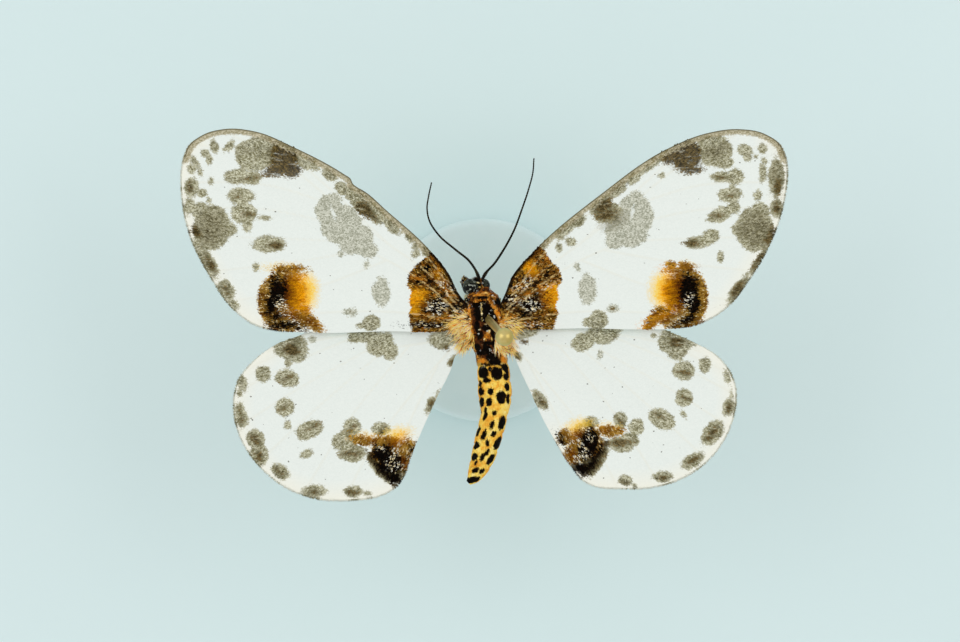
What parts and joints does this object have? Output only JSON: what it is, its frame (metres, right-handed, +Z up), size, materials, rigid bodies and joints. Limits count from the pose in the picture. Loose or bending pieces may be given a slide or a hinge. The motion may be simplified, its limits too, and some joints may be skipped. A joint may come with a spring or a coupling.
{
  "type": "pinned magpie moth specimen",
  "caption": "Spread magpie moth, white with grey spots and orange and black patches, held on an insect pin that stands in a small round base.",
  "frame": {"origin": "centre of the round base's underside, below the thorax", "axes": "+Z up, +Y towards the moth's head, +X towards the moth's right wings"},
  "size_m": [0.04, 0.0247, 0.0317],
  "materials": {
    "wing_scales": "matt scaled wing with grey, orange and black markings",
    "body_scales": "orange hair and scales with black spots",
    "dark_cuticle": "satin dark cuticle",
    "eye": "dark, glossy and finely faceted",
    "pin_metal": "satin, slightly dull",
    "base_paint": "matt pale paint"
  },
  "bodies": {
    "root": {"thorax": "body_scales", "abdomen": "body_scales", "head": "body_scales", "eye_left": "eye", "eye_right": "eye", "palp_left": "body_scales", "palp_right": "body_scales", "proboscis": "dark_cuticle", "antenna_left": "dark_cuticle", "antenna_right": "dark_cuticle", "leg_front_left": "dark_cuticle", "leg_front_right": "dark_cuticle", "leg_middle_left": "dark_cuticle", "leg_middle_right": "dark_cuticle", "leg_hind_left": "dark_cuticle", "leg_hind_right": "dark_cuticle", "forewing_left": "wing_scales", "forewing_right": "wing_scales", "hindwing_left": "wing_scales", "hindwing_right": "wing_scales", "stand_pin": "pin_metal", "stand_base": "base_paint"}
  },
  "joints": []
}
